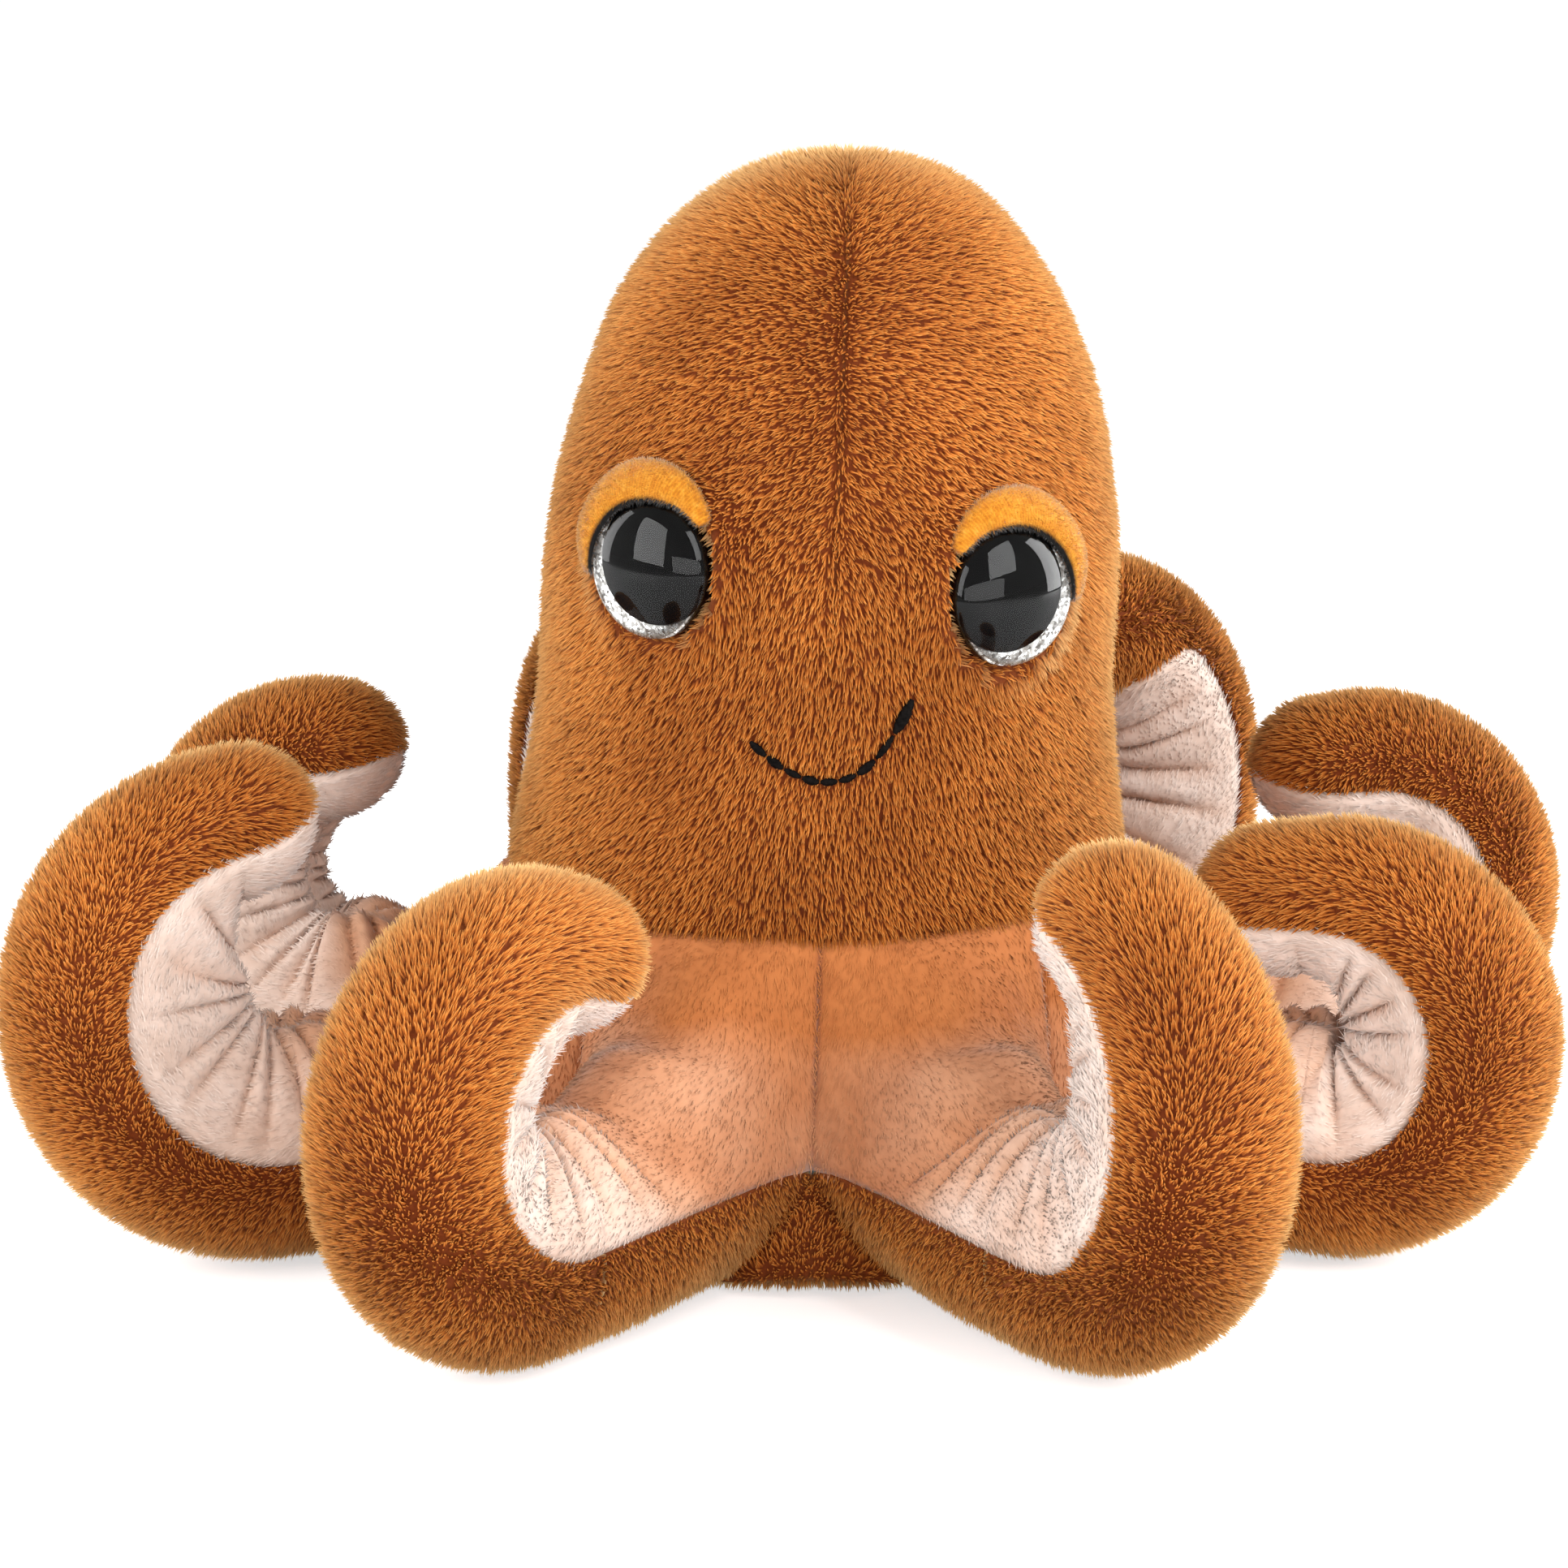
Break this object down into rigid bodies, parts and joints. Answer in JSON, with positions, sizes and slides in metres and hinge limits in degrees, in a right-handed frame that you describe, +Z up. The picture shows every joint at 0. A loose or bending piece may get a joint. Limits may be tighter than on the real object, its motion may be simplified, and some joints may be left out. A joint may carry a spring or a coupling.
{
  "type": "plush octopus toy",
  "caption": "Sitting plush octopus with a tall domed head, domed safety eyes, puffed eyelids, a stitched smile and arms curled up at their tips.",
  "frame": {"origin": "on the table under the middle of the body's flat underside", "axes": "+Z up through the head, -Y towards where the face looks, +X to the right seen from the front"},
  "size_m": [0.2395, 0.2238, 0.163],
  "materials": {
    "ginger_plush": "deep ginger plush pile, about 3 mm",
    "peach_plush": "short brushed peach pile",
    "pale_plush": "short brushed pinkish white pile, gathered in folds",
    "stuffing": "loose polyester fibre",
    "pellet_cloth": "woven cotton bag of plastic pellets",
    "cream_thread": "sewing thread",
    "black_thread": "thick embroidery thread",
    "lid_velour": "fine yellow-orange velour, padded",
    "black_plastic": "gloss",
    "glitter_film": "silver glitter",
    "clear_lens": "clear polished acrylic dome",
    "washer_plastic": "natural white"
  },
  "bodies": {
    "body": {"skirt": "peach_plush", "base_cover": "ginger_plush", "body_filling": "stuffing", "pellet_bag": "pellet_cloth", "head_cover_left": "ginger_plush", "head_cover_right": "ginger_plush", "head_filling": "stuffing", "eye_left_post": "black_plastic", "eye_left_glitter_disc": "glitter_film", "eye_left_pupil": "black_plastic", "eye_left_lens": "clear_lens", "eye_left_washer": "washer_plastic", "eyelid_left": "lid_velour", "eye_right_post": "black_plastic", "eye_right_glitter_disc": "glitter_film", "eye_right_pupil": "black_plastic", "eye_right_lens": "clear_lens", "eye_right_washer": "washer_plastic", "eyelid_right": "lid_velour", "mouth_stitch": "black_thread"},
    "arm_front_left": {"arm_front_left_back": "ginger_plush", "arm_front_left_face": "pale_plush", "arm_front_left_filling": "stuffing", "arm_front_left_gather_thread": "cream_thread"},
    "arm_front_right": {"arm_front_right_back": "ginger_plush", "arm_front_right_face": "pale_plush", "arm_front_right_filling": "stuffing", "arm_front_right_gather_thread": "cream_thread"},
    "arm_middle_left": {"arm_middle_left_back": "ginger_plush", "arm_middle_left_face": "pale_plush", "arm_middle_left_filling": "stuffing", "arm_middle_left_gather_thread": "cream_thread"},
    "arm_middle_right": {"arm_middle_right_back": "ginger_plush", "arm_middle_right_face": "pale_plush", "arm_middle_right_filling": "stuffing", "arm_middle_right_gather_thread": "cream_thread"},
    "arm_back_left": {"arm_back_left_back": "ginger_plush", "arm_back_left_face": "pale_plush", "arm_back_left_filling": "stuffing", "arm_back_left_gather_thread": "cream_thread"},
    "arm_back_right": {"arm_back_right_back": "ginger_plush", "arm_back_right_face": "pale_plush", "arm_back_right_filling": "stuffing", "arm_back_right_gather_thread": "cream_thread"},
    "arm_rear_left": {"arm_rear_left_back": "ginger_plush", "arm_rear_left_face": "pale_plush", "arm_rear_left_filling": "stuffing", "arm_rear_left_gather_thread": "cream_thread"},
    "arm_rear_right": {"arm_rear_right_back": "ginger_plush", "arm_rear_right_face": "pale_plush", "arm_rear_right_filling": "stuffing", "arm_rear_right_gather_thread": "cream_thread"}
  },
  "joints": [
    {"name": "arm_front_left_swing", "type": "hinge", "parent": "body", "child": "arm_front_left", "pos_m": [-0.01913, -0.04619, 0.0174], "axis": [-0.788, 0.6157, 0], "range_deg": [-6, 12], "stiffness_Nm_per_rad": 0.3},
    {"name": "arm_front_right_swing", "type": "hinge", "parent": "body", "child": "arm_front_right", "pos_m": [0.01913, -0.04619, 0.0174], "axis": [-0.848, -0.5299, 0], "range_deg": [-6, 12], "stiffness_Nm_per_rad": 0.3},
    {"name": "arm_middle_left_swing", "type": "hinge", "parent": "body", "child": "arm_middle_left", "pos_m": [-0.04619, -0.01913, 0.0174], "axis": [-0.3256, 0.9455, 0], "range_deg": [-6, 12], "stiffness_Nm_per_rad": 0.3},
    {"name": "arm_middle_right_swing", "type": "hinge", "parent": "body", "child": "arm_middle_right", "pos_m": [0.04619, -0.01913, 0.0174], "axis": [-0.3256, -0.9455, 0], "range_deg": [-6, 12], "stiffness_Nm_per_rad": 0.3},
    {"name": "arm_back_left_swing", "type": "hinge", "parent": "body", "child": "arm_back_left", "pos_m": [-0.04619, 0.01913, 0.0174], "axis": [0.3746, 0.9272, 0], "range_deg": [-6, 12], "stiffness_Nm_per_rad": 0.3},
    {"name": "arm_back_right_swing", "type": "hinge", "parent": "body", "child": "arm_back_right", "pos_m": [0.04619, 0.01913, 0.0174], "axis": [0.2924, -0.9563, 0], "range_deg": [-6, 12], "stiffness_Nm_per_rad": 0.3},
    {"name": "arm_rear_left_swing", "type": "hinge", "parent": "body", "child": "arm_rear_left", "pos_m": [-0.01913, 0.04619, 0.0174], "axis": [0.9455, 0.3256, 0], "range_deg": [-6, 12], "stiffness_Nm_per_rad": 0.3},
    {"name": "arm_rear_right_swing", "type": "hinge", "parent": "body", "child": "arm_rear_right", "pos_m": [0.01913, 0.04619, 0.0174], "axis": [0.7193, -0.6947, 0], "range_deg": [-6, 12], "stiffness_Nm_per_rad": 0.3}
  ]
}
